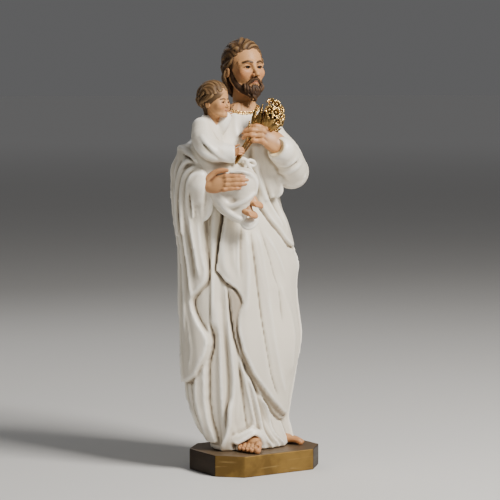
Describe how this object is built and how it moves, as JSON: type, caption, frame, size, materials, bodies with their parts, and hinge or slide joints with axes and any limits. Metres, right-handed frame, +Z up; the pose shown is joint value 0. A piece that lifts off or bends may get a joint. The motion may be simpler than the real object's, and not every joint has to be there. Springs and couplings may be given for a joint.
{
  "type": "saint joseph statue",
  "caption": "Standing painted figure of a robed, bearded saint with a child on one arm and gilded lilies in the other hand, on an eight-sided plinth.",
  "frame": {"origin": "centre of the plinth's flat underside", "axes": "+Z up through the figure; -Y out of the plinth's long front side; +X along that side, to the right of a viewer in front of it"},
  "size_m": [0.1059, 0.0765, 0.2991],
  "materials": {
    "figure": "cast resin, ivory-white satin paint with a thin brown wash in the folds",
    "plinth": "cast resin, aged bronze-gold paint"
  },
  "bodies": {
    "root": {"figure": "figure", "plinth": "plinth"}
  },
  "joints": []
}
